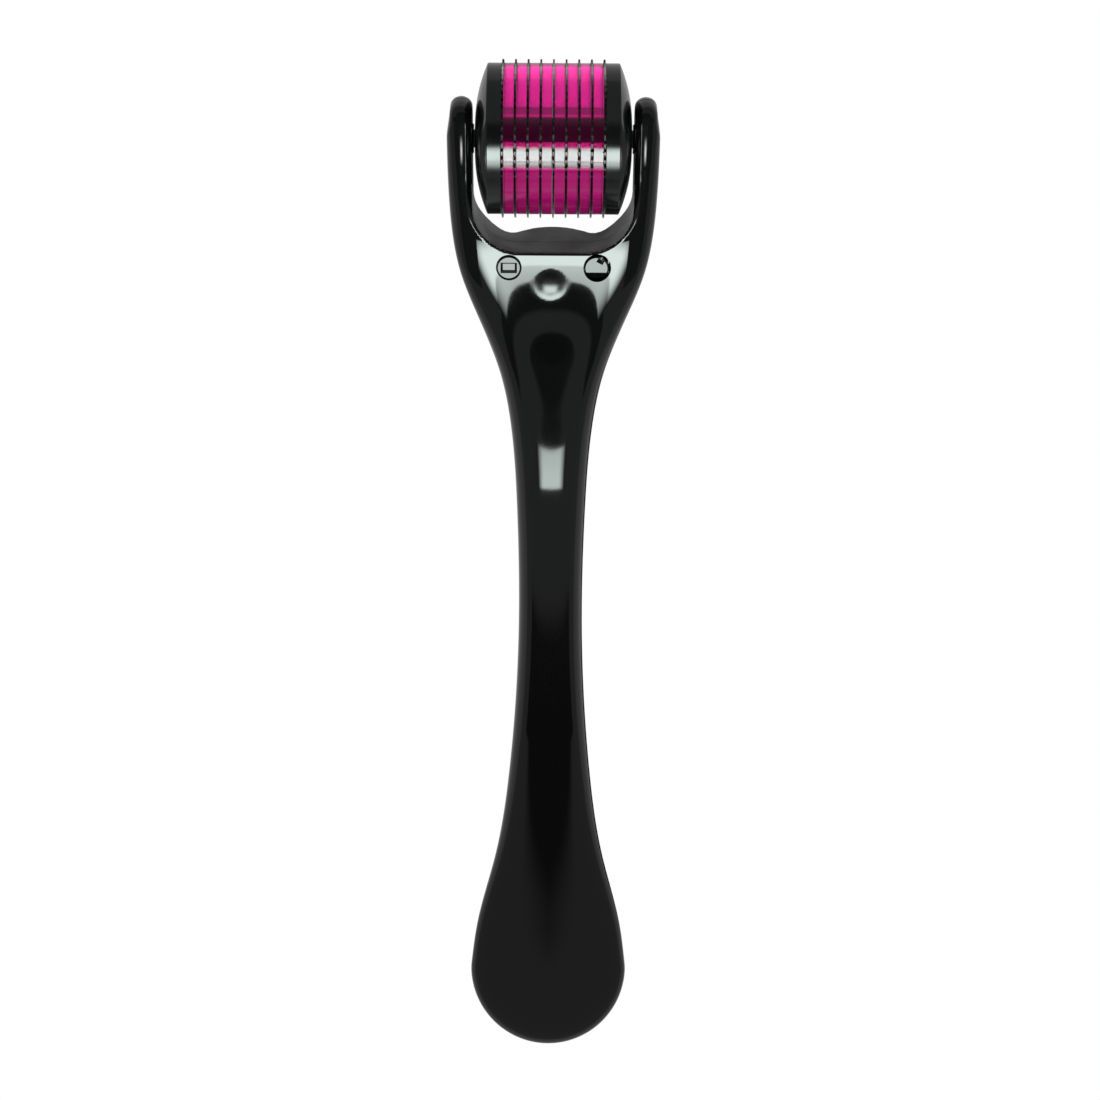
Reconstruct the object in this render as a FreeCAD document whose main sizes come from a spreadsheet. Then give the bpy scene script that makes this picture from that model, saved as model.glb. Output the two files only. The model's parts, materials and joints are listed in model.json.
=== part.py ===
import FreeCAD, Part
import math
import os
import Sketcher
from FreeCAD import Placement, Rotation, Vector

# A derma roller lying on its back: +Y runs from the handle's butt to the roller, +X along the
# roller's axle and +Z up, away from the surface it rests on. The origin is the bottom centre
# of the whole object's box. Lengths are in millimetres and angles in degrees.

SIZES = {
    # half the overall length; where the axle lies, and how far the fork tilts up
    "overall_reach": 69.3,
    "axle_y": 58.4,
    "axle_z": 14.5,
    "fork_tilt": 26.5,
    # the U-shaped gap between the fork's arms, seen square to the fork
    "gap_half_width": 11.25,
    "gap_corner_radius": 6.4,
    "gap_depth": 15.1,
    "gap_edge_fillet": 0.35,
    # the rounded ends of the arms, and the bosses that hold the axle
    "arm_half_width": 14.8,
    "arm_end_radius": 4.35,
    "arm_end_offset": 1.9,
    "arm_corner_radius": 2.4,
    "boss_radius": 1.95,
    "boss_root_radius": 2.5,
    "boss_face": 11.03,
    # the shells' inner wall, pegs and the small round bump on the yoke
    "shell_wall": 1.8,
    "peg_radius": 1.1,
    "peg_length": 3.2,
    "peg_clearance": 0.05,
    "ridge_half_width": 3.6,
    "valley_offset": 6.4,
    "valley_half_width": 2.4,
    "bump_sphere_radius": 5.0,
    "bump_height": 0.4,
    "bump_x": -0.3,
    "bump_y": 38.5,
    # the two pins that lock the shells together
    "pin_offset": 6.15,
    "pin_setback": 17.2,
    "pin_radius": 1.68,
    "pin_hole_radius": 1.8,
    "right_hole_radius": 1.95,
    "right_hole_shift": 0.12,
    "pin_bottom": -1.9,
    "pin_top": 5.05,
    "pin_edge": 0.15,
    "pin_slot_length": 2.3,
    "pin_slot_width": 1.55,
    "pin_slot_depth": 0.45,
    "pin_slot_taper": 35.0,
    "pin_step_depth": 0.6,
    "pin_step_offset": 0.6,
    "pin_notch_start": 0.85,
    "pin_notch_width": 1.0,
    "pin_notch_depth": 0.45,
    "pin_notch_turn": 62.0,
    "pin_notch_taper": 45.0,
    # the axle and the tube that turns on it
    "axle_radius": 1.25,
    "axle_length": 25.6,
    "axle_chamfer": 0.2,
    "running_clearance": 0.05,
    "seat_clearance": 0.02,
    "core_radius": 2.9,
    "key_height": 0.6,
    "key_width": 1.0,
    # the toothed discs and the rings between them
    "disc_count": 9,
    "disc_thickness": 0.25,
    "disc_radius": 9.6,
    "tooth_count": 60,
    "tooth_width": 0.26,
    "tooth_shoulder": 10.3,
    "tooth_tip_radius": 10.9,
    "ring_thickness": 1.5,
    "ring_radius": 10.4,
    "ring_chamfer": 0.1,
    # the domed end caps
    "cap_rim_width": 2.0,
    "cap_width": 3.75,
    "cap_hub_radius": 2.6,
    "cap_dome_radius": 20.5,
    "cap_end_wall": 1.2,
    "cap_edge": 0.15,
}

# Cross-sections of the handle, from the butt to the fork's tips. Each gives the middle
# surface's place, the half width, the heights in front of and behind the middle surface, the
# squareness (2 is an ellipse), and the ridge and valleys on the back.
COLUMNS = ("y", "z", "half_width", "front", "back", "squareness", "ridge", "valley")
SECTIONS = {
    "butt": (-58.3, 3.80, 11.00, 3.60, 4.05, 2.3, 0.0, 0.0),
    "paddle": (-51.8, 3.85, 10.10, 3.65, 4.05, 2.3, 0.0, 0.0),
    "flare": (-42.8, 4.30, 7.75, 3.85, 4.15, 2.25, 0.0, 0.0),
    "grip": (-30.8, 5.25, 5.78, 4.15, 4.30, 2.2, 0.0, 0.0),
    "waist": (-8.8, 6.30, 4.48, 4.45, 4.45, 2.2, 0.0, 0.0),
    "upper": (7.2, 6.15, 4.83, 4.60, 4.60, 2.2, 0.0, 0.0),
    "neck": (19.2, 5.60, 5.82, 4.75, 4.80, 2.3, 0.0, 0.0),
    "throat": (27.2, 5.25, 7.60, 4.85, 4.90, 2.5, 0.0, 0.3),
    "shoulder": (34.2, 5.15, 10.45, 4.85, 5.05, 3.0, 0.3, 1.1),
    "yoke": (40.2, 6.15, 12.85, 4.75, 5.40, 3.8, 0.8, 1.8),
}
# The fork's sections lie on a straight line through the axle, this far from it.
FORK_COLUMNS = ("reach", "half_width", "front", "back", "squareness", "ridge", "valley")
FORK_SECTIONS = {
    "crotch": (-13.5, 14.15, 4.60, 5.55, 4.6, 1.2, 1.9),
    "arm": (-7.0, 14.62, 5.00, 4.75, 5.0, 1.2, 1.9),
    "pivot": (0.0, 14.80, 4.50, 4.10, 5.0, 0.0, 0.0),
    "tip": (9.0, 14.80, 4.10, 4.10, 5.0, 0.0, 0.0),
}
SECTION_STEPS = 24
FINE_STEPS = 360
HALF_TURN = 180
FLATNESS = 0.001
JOIN_TOLERANCE = 0.005
CAVITY_SECTIONS = 9
# how many half widths of the fork the space that splits the handle is wide and tall
SPLIT_SPAN = 4
# where along an edge it is tested for lying on the gap's rim
RIM_PROBES = (0, 0.3, 0.6, 1)
FRONT = 1
BACK = -1


def build_sheet(document):
    """The spreadsheet that holds every driving dimension under an alias."""
    sheet = document.addObject("Spreadsheet::Sheet", "Sizes")
    rows = dict(SIZES)
    for name, values in SECTIONS.items():
        rows.update({f"{name}_{column}": value for column, value in zip(COLUMNS, values)})
    for name, values in FORK_SECTIONS.items():
        rows.update({f"{name}_{column}": value for column, value in zip(FORK_COLUMNS, values)})
    for row, (alias, value) in enumerate(rows.items(), start=1):
        sheet.set(f"A{row}", alias)
        sheet.set(f"B{row}", str(value))
        sheet.setAlias(f"B{row}", alias)
    document.recompute()
    return sheet


# ---- sketches and bodies -------------------------------------------------------------------


def new_body(document, label):
    body = document.addObject("PartDesign::Body", label)
    body.Label = label
    return body


def origin_feature(body, role):
    return next(feature for feature in body.Origin.OriginFeatures if feature.Role == role)


def new_sketch(body, name, plane):
    sketch = body.newObject("Sketcher::SketchObject", name)
    sketch.AttachmentSupport = [(origin_feature(body, plane), "")]
    sketch.MapMode = "FlatFace"
    return sketch


def bind(item, path, expression):
    item.setExpression(path, expression)


def value_of(sketch, expression):
    return float(sketch.evalExpression(expression))


def constrain(sketch, kind, places, expression):
    """Add one dimension to a sketch and bind it to the sheet."""
    value = value_of(sketch, expression)
    index = sketch.addConstraint(Sketcher.Constraint(kind, *places, value))
    bind(sketch, f"Constraints[{index}]", expression)


def draw_circle(sketch, radius):
    circle = Part.Circle(Vector(0, 0, 0), Vector(0, 0, 1), value_of(sketch, radius))
    index = sketch.addGeometry(circle)
    sketch.addConstraint(Sketcher.Constraint("Coincident", index, 3, -1, 1))
    constrain(sketch, "Radius", (index,), radius)


def arc_between(start, end, radius):
    """The shorter arc of a given radius that bulges to the right of start to end."""
    chord = end - start
    middle = (start + end) * 0.5
    left = Vector(-chord.y, chord.x, 0).normalize()
    sagitta = radius - math.sqrt(radius**2 - (chord.Length / 2) ** 2)
    return Part.Arc(start, middle - left * sagitta, end)


def draw_outline(sketch, corners, arc_from=None, arc_radius=None):
    """A closed outline whose corners are bound to the sheet. One side may be an arc."""
    points = [Vector(value_of(sketch, x), value_of(sketch, y), 0) for x, y in corners]
    sides = []
    for index, start in enumerate(points):
        end = points[(index + 1) % len(points)]
        if index == arc_from:
            sides.append(arc_between(start, end, value_of(sketch, arc_radius)))
        else:
            sides.append(Part.LineSegment(start, end))
    first = sketch.addGeometry(sides)[0]
    for index, (x, y) in enumerate(corners):
        side = first + index
        following = first + (index + 1) % len(corners)
        sketch.addConstraint(Sketcher.Constraint("Coincident", side, 2, following, 1))
        constrain(sketch, "DistanceX", (-1, 1, side, 1), x)
        constrain(sketch, "DistanceY", (-1, 1, side, 1), y)
    if arc_from is not None:
        constrain(sketch, "Radius", (first + arc_from,), arc_radius)


def pad(body, sketch, name, length, midplane=False):
    feature = body.newObject("PartDesign::Pad", name)
    feature.Profile = sketch
    feature.Midplane = midplane
    bind(feature, "Length", length)
    return feature


def pocket_through(body, sketch, name):
    feature = body.newObject("PartDesign::Pocket", name)
    feature.Profile = sketch
    feature.Type = "ThroughAll"
    feature.Midplane = True
    return feature


def revolve(body, sketch, name):
    feature = body.newObject("PartDesign::Revolution", name)
    feature.Profile = sketch
    feature.ReferenceAxis = (sketch, ["V_Axis"])
    feature.Angle = 360
    return feature


def lay_on_axle(body, distance, outward=1):
    """Turn a body's own Z axis onto the axle's line, with its origin at a distance along it."""
    body.Placement = Placement(Vector(0, 0, 0), Rotation(Vector(0, 1, 0), 90 * outward))
    bind(body, "Placement.Base.x", distance)
    bind(body, "Placement.Base.y", "Sizes.axle_y")
    bind(body, "Placement.Base.z", "Sizes.axle_z")


# ---- the roller ----------------------------------------------------------------------------

BORE = "(Sizes.core_radius + Sizes.seat_clearance)"
PITCH = "(Sizes.disc_thickness + Sizes.ring_thickness)"
STACK = f"((Sizes.disc_count - 1) * {PITCH} + Sizes.disc_thickness)"
AXLE_BORE = "(Sizes.axle_radius + Sizes.running_clearance)"


def cut_keyway(body):
    """The notch in a disc's or ring's bore that takes the core tube's key."""
    sketch = new_sketch(body, "keyway_outline", "XY_Plane")
    side = "(Sizes.key_width / 2 + Sizes.seat_clearance)"
    top = f"({BORE} + Sizes.key_height)"
    inner = "(Sizes.core_radius / 2)"
    draw_outline(sketch, [(inner, f"-{side}"), (top, f"-{side}"), (top, side), (inner, side)])
    pocket_through(body, sketch, "keyway")


def make_needle_disc(document, number):
    """A thin steel disc with a ring of needle teeth, keyed to the core tube."""
    body = new_body(document, f"needle_disc_{number}")
    outline = new_sketch(body, "disc_outline", "XY_Plane")
    draw_circle(outline, "Sizes.disc_radius")
    draw_circle(outline, BORE)
    pad(body, outline, "disc", "Sizes.disc_thickness")
    cut_keyway(body)
    side = "(Sizes.tooth_width / 2)"
    root = "(Sizes.disc_radius - Sizes.tooth_width)"
    tooth_outline = new_sketch(body, "tooth_outline", "XY_Plane")
    corners = [
        (root, f"-{side}"),
        ("Sizes.tooth_shoulder", f"-{side}"),
        ("Sizes.tooth_tip_radius", "0"),
        ("Sizes.tooth_shoulder", side),
        (root, side),
    ]
    draw_outline(tooth_outline, corners)
    tooth = pad(body, tooth_outline, "tooth", "Sizes.disc_thickness")
    teeth = body.newObject("PartDesign::PolarPattern", "teeth")
    teeth.Originals = [tooth]
    teeth.Axis = (origin_feature(body, "Z_Axis"), [""])
    teeth.Angle = 360
    bind(teeth, "Occurrences", "Sizes.tooth_count")
    body.Tip = teeth
    lay_on_axle(body, f"{number - 1} * {PITCH} - {STACK} / 2")
    return body


def make_spacer_ring(document, number):
    """A transparent ring that holds two discs apart."""
    body = new_body(document, f"spacer_ring_{number}")
    profile = new_sketch(body, "ring_profile", "XZ_Plane")
    rim = "Sizes.ring_radius"
    edge = "Sizes.ring_chamfer"
    width = "Sizes.ring_thickness"
    corners = [
        (BORE, "0"),
        (f"{rim} - {edge}", "0"),
        (rim, edge),
        (rim, f"{width} - {edge}"),
        (f"{rim} - {edge}", width),
        (BORE, width),
    ]
    draw_outline(profile, corners)
    revolve(body, profile, "ring")
    cut_keyway(body)
    lay_on_axle(body, f"{number - 1} * {PITCH} - {STACK} / 2 + Sizes.disc_thickness")
    return body


def make_end_cap(document, label, outward):
    """A domed cap that closes the stack and runs on the axle."""
    body = new_body(document, label)
    profile = new_sketch(body, "cap_profile", "XZ_Plane")
    rim = "Sizes.ring_radius"
    edge = "Sizes.cap_edge"
    floor = "(Sizes.cap_width - Sizes.cap_end_wall)"
    corners = [
        (BORE, "0"),
        (f"{rim} - {edge}", "0"),
        (rim, edge),
        (rim, "Sizes.cap_rim_width"),
        ("Sizes.cap_hub_radius", "Sizes.cap_width"),
        (AXLE_BORE, "Sizes.cap_width"),
        (AXLE_BORE, floor),
        (BORE, floor),
    ]
    draw_outline(profile, corners, arc_from=3, arc_radius="Sizes.cap_dome_radius")
    revolve(body, profile, "cap")
    lay_on_axle(body, f"{outward} * {STACK} / 2", outward)
    return body


def make_core_tube(document):
    """The tube that carries discs and rings on its key and turns on the axle."""
    body = new_body(document, "core_tube")
    section = new_sketch(body, "tube_section", "XY_Plane")
    draw_circle(section, "Sizes.core_radius")
    draw_circle(section, AXLE_BORE)
    sockets = "2 * (Sizes.cap_width - Sizes.cap_end_wall - Sizes.seat_clearance)"
    pad(body, section, "tube", f"{STACK} + {sockets}", midplane=True)
    key_section = new_sketch(body, "key_section", "XY_Plane")
    side = "(Sizes.key_width / 2)"
    root = "(Sizes.core_radius - Sizes.key_height / 2)"
    top = "(Sizes.core_radius + Sizes.key_height)"
    draw_outline(key_section, [(root, f"-{side}"), (top, f"-{side}"), (top, side), (root, side)])
    pad(body, key_section, "key", STACK, midplane=True)
    lay_on_axle(body, "0")
    return body


def make_axle_pin(document):
    """The steel axle, held at both ends between the two shells."""
    body = new_body(document, "axle_pin")
    profile = new_sketch(body, "axle_profile", "XZ_Plane")
    end = "(Sizes.axle_length / 2)"
    edge = "Sizes.axle_chamfer"
    radius = "Sizes.axle_radius"
    corners = [
        ("0", f"-{end}"),
        (f"{radius} - {edge}", f"-{end}"),
        (radius, f"{edge} - {end}"),
        (radius, f"{end} - {edge}"),
        (f"{radius} - {edge}", end),
        ("0", end),
    ]
    draw_outline(profile, corners)
    revolve(body, profile, "axle")
    lay_on_axle(body, "0")
    return body


# ---- the lock pins -------------------------------------------------------------------------


def make_lock_pin(document, label, side):
    """A round pin pressed square to the fork, through the front shell into the back one."""
    body = new_body(document, label)
    profile = new_sketch(body, "pin_profile", "XZ_Plane")
    edge = "Sizes.pin_edge"
    radius = "Sizes.pin_radius"
    corners = [
        ("0", "Sizes.pin_bottom"),
        (f"{radius} - {edge}", "Sizes.pin_bottom"),
        (radius, f"Sizes.pin_bottom + {edge}"),
        (radius, f"Sizes.pin_top - {edge}"),
        (f"{radius} - {edge}", "Sizes.pin_top"),
        ("0", "Sizes.pin_top"),
    ]
    draw_outline(profile, corners)
    revolve(body, profile, "pin")
    if side < 0:
        cut_pin_slot(body)
    else:
        cut_pin_step(body)
        cut_pin_notch(body, document.Sizes.pin_notch_turn)
    fork = fork_placement(document.Sizes)
    seat = Vector(side * document.Sizes.pin_offset, -document.Sizes.pin_setback, 0)
    body.Placement = fork * Placement(seat, Rotation())
    return body


def cut_pin_end(body, name, corners, depth, turn=0.0):
    """Sink an outline into the pin's visible end."""
    sketch = new_sketch(body, f"{name}_outline", "XY_Plane")
    sketch.AttachmentOffset = Placement(Vector(0, 0, 0), Rotation(Vector(0, 0, 1), turn))
    draw_outline(sketch, corners)
    bind(sketch, "AttachmentOffset.Base.z", "Sizes.pin_top")
    feature = body.newObject("PartDesign::Pocket", name)
    feature.Profile = sketch
    bind(feature, "Length", depth)
    return feature


def cut_pin_slot(body):
    """The shallow rectangular recess with sloping walls in the left pin's end."""
    x = "(Sizes.pin_slot_length / 2)"
    y = "(Sizes.pin_slot_width / 2)"
    corners = [(f"-{x}", f"-{y}"), (x, f"-{y}"), (x, y), (f"-{x}", y)]
    slot = cut_pin_end(body, "slot", corners, "Sizes.pin_slot_depth")
    bind(slot, "TaperAngle", "-Sizes.pin_slot_taper")


def cut_pin_step(body):
    """The bevel across the lower part of the right pin's end."""
    sketch = new_sketch(body, "step_outline", "YZ_Plane")
    start = "(-Sizes.pin_step_offset)"
    low = "(-Sizes.pin_radius)"
    above = "(Sizes.pin_top + Sizes.pin_edge)"
    foot = "(Sizes.pin_top - Sizes.pin_step_depth)"
    draw_outline(sketch, [(start, "Sizes.pin_top"), (start, above), (low, above), (low, foot)])
    pocket_through(body, sketch, "step")


def cut_pin_notch(body, turn):
    """The small notch with sloping walls in the rim of the right pin's end."""
    start = "Sizes.pin_notch_start"
    outside = "(2 * Sizes.pin_radius)"
    side = "(Sizes.pin_notch_width / 2)"
    corners = [(start, f"-{side}"), (outside, f"-{side}"), (outside, side), (start, side)]
    notch = cut_pin_end(body, "notch", corners, "Sizes.pin_notch_depth", turn)
    bind(notch, "TaperAngle", "-Sizes.pin_notch_taper")


# ---- the handle's two shells ---------------------------------------------------------------


def fork_placement(sheet):
    """The fork's own frame: origin on the axle, Y towards the tips and Z out of its front."""
    tilt = Rotation(Vector(1, 0, 0), sheet.fork_tilt)
    return Placement(Vector(0, sheet.axle_y, sheet.axle_z), tilt)


def read_sections(sheet, fork):
    """Every cross-section as a dictionary of its values, and the spine through their middles."""
    sections = []
    for name in SECTIONS:
        section = {column: sheet.get(f"{name}_{column}") for column in COLUMNS}
        section["middle"] = Vector(0, section["y"], section["z"])
        sections.append(section)
    for name in FORK_SECTIONS:
        section = {column: sheet.get(f"{name}_{column}") for column in FORK_COLUMNS}
        section["middle"] = fork.multVec(Vector(0, section["reach"], 0))
        sections.append(section)
    spine = Part.BSplineCurve()
    points = [section["middle"] for section in sections]
    fork_direction = fork.Rotation.multVec(Vector(0, 1, 0))
    spine.interpolate(Points=points, InitialTangent=Vector(0, 1, 0), FinalTangent=fork_direction)
    for section in sections:
        along = spine.tangent(spine.parameter(section["middle"]))[0]
        section["normal"] = Vector(0, -along.z, along.y).normalize()
    return sections, spine


def section_height(sheet, section, side, x, inset):
    """Height of the surface above or below the middle surface, at a distance across it."""
    half_width = section["half_width"] - inset
    power = section["squareness"]
    height = section["front" if side == FRONT else "back"] - inset
    fullness = max(0.0, 1 - abs(x / half_width) ** power)
    height *= fullness ** (1 / power)
    if side == BACK and inset == 0:
        across = (abs(x) - sheet.valley_offset) / sheet.valley_half_width
        height += fullness * section["ridge"] * math.exp(-((x / sheet.ridge_half_width) ** 2))
        height -= fullness * section["valley"] * math.exp(-(across**2))
    return height


def section_points(sheet, section, side, inset):
    """Finely spaced points across one side of a cross-section, from right to left."""
    half_width = section["half_width"] - inset
    points = []
    for step in range(FINE_STEPS + 1):
        x = half_width * math.cos(math.pi * step / FINE_STEPS)
        height = section_height(sheet, section, side, x, inset)
        points.append(section["middle"] + Vector(x, 0, 0) + section["normal"] * side * height)
    return points


def evenly_spaced(points, count):
    """The same line with its points at even distances along it."""
    lengths = [0.0]
    for before, after in zip(points, points[1:]):
        lengths.append(lengths[-1] + (after - before).Length)
    result = [points[0]]
    index = 0
    for step in range(1, count):
        target = lengths[-1] * step / count
        while lengths[index + 1] < target:
            index += 1
        share = (target - lengths[index]) / (lengths[index + 1] - lengths[index])
        result.append(points[index] + (points[index + 1] - points[index]) * share)
    result.append(points[-1])
    return result


def section_curve(sheet, section, inset):
    """The closed curve round a whole cross-section, starting at its right edge."""
    front = evenly_spaced(section_points(sheet, section, FRONT, inset), SECTION_STEPS)
    back = evenly_spaced(section_points(sheet, section, BACK, inset), SECTION_STEPS)
    points = front + back[-2:0:-1]
    curve = Part.BSplineCurve()
    steps = [step / len(points) for step in range(len(points) + 1)]
    curve.interpolate(Points=points, PeriodicFlag=True, Parameters=steps)
    return curve


def make_bar(sheet, sections, inset=0.0):
    """A smooth bar through the cross-sections, all of them or a stretch."""
    wires = [Part.Wire([section_curve(sheet, section, inset).toShape()]) for section in sections]
    return Part.makeLoft(wires, True)


def make_butt(bar, section):
    """The round end of the paddle: one half of the bar's flat end turned half round."""
    middle = section["middle"]
    end = next(face for face in bar.Faces if abs(face.CenterOfMass.y - middle.y) < FLATNESS)
    reach = 2 * section["half_width"]
    corner = Vector(0, middle.y - reach / 2, middle.z - reach / 2)
    right = Part.makeBox(reach, reach, reach, corner)
    half_end = end.common(right).Faces[0]
    return half_end.revolve(middle, Vector(0, 0, 1), -HALF_TURN)


def make_upper_space(sheet, sections, spine):
    """Everything in front of the middle surface, to split the handle into its two shells."""
    start = sections[0]["middle"]
    end = sections[-1]["middle"]
    far_start = start - Vector(0, 2 * sheet.arm_half_width, 0)
    height = Vector(0, 0, SPLIT_SPAN * sheet.arm_half_width)
    edges = [
        Part.LineSegment(far_start, start).toShape(),
        spine.toShape(),
        Part.LineSegment(end, end + height).toShape(),
        Part.LineSegment(end + height, far_start + height).toShape(),
        Part.LineSegment(far_start + height, far_start).toShape(),
    ]
    width = Vector(SPLIT_SPAN * sheet.arm_half_width, 0, 0)
    space = Part.Face(Part.Wire(edges)).extrude(width)
    space.translate(-width / 2)
    return space


def extruded(edges, height, placement):
    """A prism on the placement's XY plane, reaching the same height above and below it."""
    face = Part.Face(Part.Wire(edges))
    prism = face.extrude(Vector(0, 0, 2 * height))
    prism.translate(Vector(0, 0, -height))
    prism.Placement = placement * prism.Placement
    return prism


def make_gap(sheet, fork):
    """The U between the fork's arms."""
    side = sheet.gap_half_width
    corner = sheet.gap_corner_radius
    bottom = -sheet.gap_depth
    reach = sheet.gap_depth
    turn = corner * (1 - math.sqrt(0.5))
    left_tip = Vector(-side, reach, 0)
    left_wall = Vector(-side, bottom + corner, 0)
    left_floor = Vector(corner - side, bottom, 0)
    right_floor = Vector(side - corner, bottom, 0)
    right_wall = Vector(side, bottom + corner, 0)
    right_tip = Vector(side, reach, 0)
    edges = [
        Part.LineSegment(left_tip, left_wall).toShape(),
        Part.Arc(left_wall, Vector(turn - side, bottom + turn, 0), left_floor).toShape(),
        Part.LineSegment(left_floor, right_floor).toShape(),
        Part.Arc(right_floor, Vector(side - turn, bottom + turn, 0), right_wall).toShape(),
        Part.LineSegment(right_wall, right_tip).toShape(),
        Part.LineSegment(right_tip, left_tip).toShape(),
    ]
    return extruded(edges, sheet.gap_half_width, fork)


def make_tip_trim(sheet, fork):
    """What is cut off the arms' ends, so that they are round from the side and in front."""
    wide = sheet.overall_reach
    tall = 2 * sheet.axle_z
    round_end = sheet.arm_end_radius
    start = sheet.arm_end_offset
    block = Part.makeBox(wide, tall, tall, Vector(-wide / 2, start, -tall / 2))
    rod = Part.makeCylinder(round_end, wide, Vector(-wide / 2, start, 0), Vector(1, 0, 0))
    trims = [block.cut(rod)]
    corner = sheet.arm_corner_radius
    end = start + round_end
    for side in (-1, 1):
        low = Vector(side * (sheet.arm_half_width - corner), end - corner, 0)
        cut_x = low.x if side > 0 else low.x - 2 * corner
        corner_box = Part.makeBox(2 * corner, 2 * corner, wide, Vector(cut_x, low.y, -wide / 2))
        post = Part.makeCylinder(corner, wide, Vector(low.x, low.y, -wide / 2))
        trims.append(corner_box.cut(post))
    trim = trims[0].fuse(trims[1:])
    trim.Placement = fork
    return trim


def make_axle_bosses(sheet, fork):
    """The two low cones on the arms' inner faces that meet the roller's caps."""
    bosses = []
    for side in (-1, 1):
        root = sheet.gap_half_width + sheet.boss_root_radius - sheet.boss_radius
        length = root - sheet.boss_face
        start = Vector(side * root, 0, 0)
        direction = Vector(-side, 0, 0)
        cone = Part.makeCone(sheet.boss_root_radius, sheet.boss_radius, length, start, direction)
        cone.Placement = fork * cone.Placement
        bosses.append(cone)
    return bosses


def make_axle_bore(sheet, fork):
    """Room for the axle's ends, open only towards the roller."""
    length = sheet.axle_length + 2 * sheet.seat_clearance
    radius = sheet.axle_radius + sheet.seat_clearance
    bore = Part.makeCylinder(radius, length, Vector(-length / 2, 0, 0), Vector(1, 0, 0))
    bore.Placement = fork
    return bore


def make_pin_holes(sheet, fork):
    """The holes and blind sockets for the lock pins."""
    holes = []
    for side in (-1, 1):
        seat = Vector(side * sheet.pin_offset, -sheet.pin_setback, 0)
        radius = sheet.pin_hole_radius if side < 0 else sheet.right_hole_radius
        shift = Vector(0 if side < 0 else sheet.right_hole_shift, 0, 0)
        top = Part.makeCylinder(radius, 2 * sheet.pin_top, seat + shift)
        socket_bottom = sheet.pin_bottom - sheet.seat_clearance
        base = seat + Vector(0, 0, socket_bottom)
        socket = Part.makeCylinder(sheet.pin_radius + sheet.seat_clearance, -socket_bottom, base)
        holes.extend([top, socket])
    for hole in holes:
        hole.Placement = fork * hole.Placement
    return holes


def peg_sites(sections):
    """The pegs stand on the spine at the paddle, the waist and the neck."""
    names = list(SECTIONS)
    return [sections[names.index(name)] for name in ("paddle", "waist", "neck")]


def make_peg(sheet, section, radius, length):
    """A peg that reaches from inside the front shell into the back one."""
    front = section["front"] - sheet.shell_wall / 2
    start = section["middle"] + section["normal"] * front
    return Part.makeCylinder(radius, front + length, start, -section["normal"])


def make_peg_post(sheet, section):
    """The hollow post in the back shell that takes a peg."""
    height = section["back"] - sheet.shell_wall / 2
    radius = sheet.peg_radius + sheet.shell_wall / 2
    return Part.makeCylinder(radius, height, section["middle"], -section["normal"])


def make_bump(sheet, sections, handle):
    """The small round bump where the handle's front bends up into the yoke."""
    names = list(SECTIONS)
    shoulder = sections[names.index("shoulder")]
    yoke = sections[names.index("yoke")]
    share = (sheet.bump_y - shoulder["y"]) / (yoke["y"] - shoulder["y"])
    normal = (shoulder["normal"] * (1 - share) + yoke["normal"] * share).normalize()
    ground = Vector(sheet.bump_x, sheet.bump_y, 0)
    plumb_line = Part.makeLine(ground, ground + Vector(0, 0, 2 * sheet.axle_z))
    foot = ground + Vector(0, 0, plumb_line.common(handle).BoundBox.ZMax)
    ball = Part.makeSphere(sheet.bump_sphere_radius)
    block = 2 * sheet.bump_sphere_radius
    low = sheet.bump_sphere_radius - sheet.bump_height - sheet.shell_wall / 2
    lens = ball.common(Part.makeBox(block, block, block, Vector(-block / 2, -block / 2, low)))
    lens.translate(Vector(0, 0, sheet.bump_height - sheet.bump_sphere_radius))
    lens.Placement = Placement(foot, Rotation(Vector(0, 0, 1), normal)) * lens.Placement
    return lens


def on_gap_wall(sheet, point):
    """Whether a point in the fork's own frame lies on the wall of the U."""
    corner = sheet.gap_corner_radius
    across = max(0.0, abs(point.x) - (sheet.gap_half_width - corner))
    down = max(0.0, corner - sheet.gap_depth - point.y)
    return abs(math.hypot(across, down) - corner) < FLATNESS and point.y < sheet.arm_end_offset


def gap_rim_edges(sheet, fork, shape):
    """The sharp edges where the U meets the fork's front and back."""
    to_fork = fork.inverse()
    rims = []
    for edge in shape.Edges:
        span = edge.LastParameter - edge.FirstParameter
        places = [edge.FirstParameter + span * share for share in RIM_PROBES]
        points = [to_fork.multVec(edge.valueAt(place)) for place in places]
        along_rim = abs(points[0].x - points[-1].x) + abs(points[0].y - points[-1].y) > FLATNESS
        if along_rim and all(on_gap_wall(sheet, point) for point in points[1:-1]):
            rims.append(edge)
    return rims


def make_handle(sheet, sections, fork):
    """The whole handle in one piece, before it is split into its shells."""
    bar = make_bar(sheet, sections)
    handle = bar.fuse(make_butt(bar, sections[0]), JOIN_TOLERANCE)
    handle = handle.cut(make_gap(sheet, fork)).cut(make_tip_trim(sheet, fork))
    handle = handle.makeFillet(sheet.gap_edge_fillet, gap_rim_edges(sheet, fork, handle))
    handle = handle.fuse(make_axle_bosses(sheet, fork))
    below = 2 * sheet.overall_reach
    underground = Part.makeBox(below, below, below, Vector(-below / 2, -below / 2, -below))
    cavity = make_bar(sheet, sections[:CAVITY_SECTIONS], sheet.shell_wall)
    return handle.cut([make_axle_bore(sheet, fork), underground, cavity])


def add_shell(document, label, shape):
    shell = document.addObject("Part::Feature", label)
    shell.Label = label
    if len(shape.Solids) != 1:
        raise RuntimeError(f"{label} is made of {len(shape.Solids)} solids")
    shell.Shape = shape.Solids[0]
    shell.Placement = Placement()
    return shell


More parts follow.
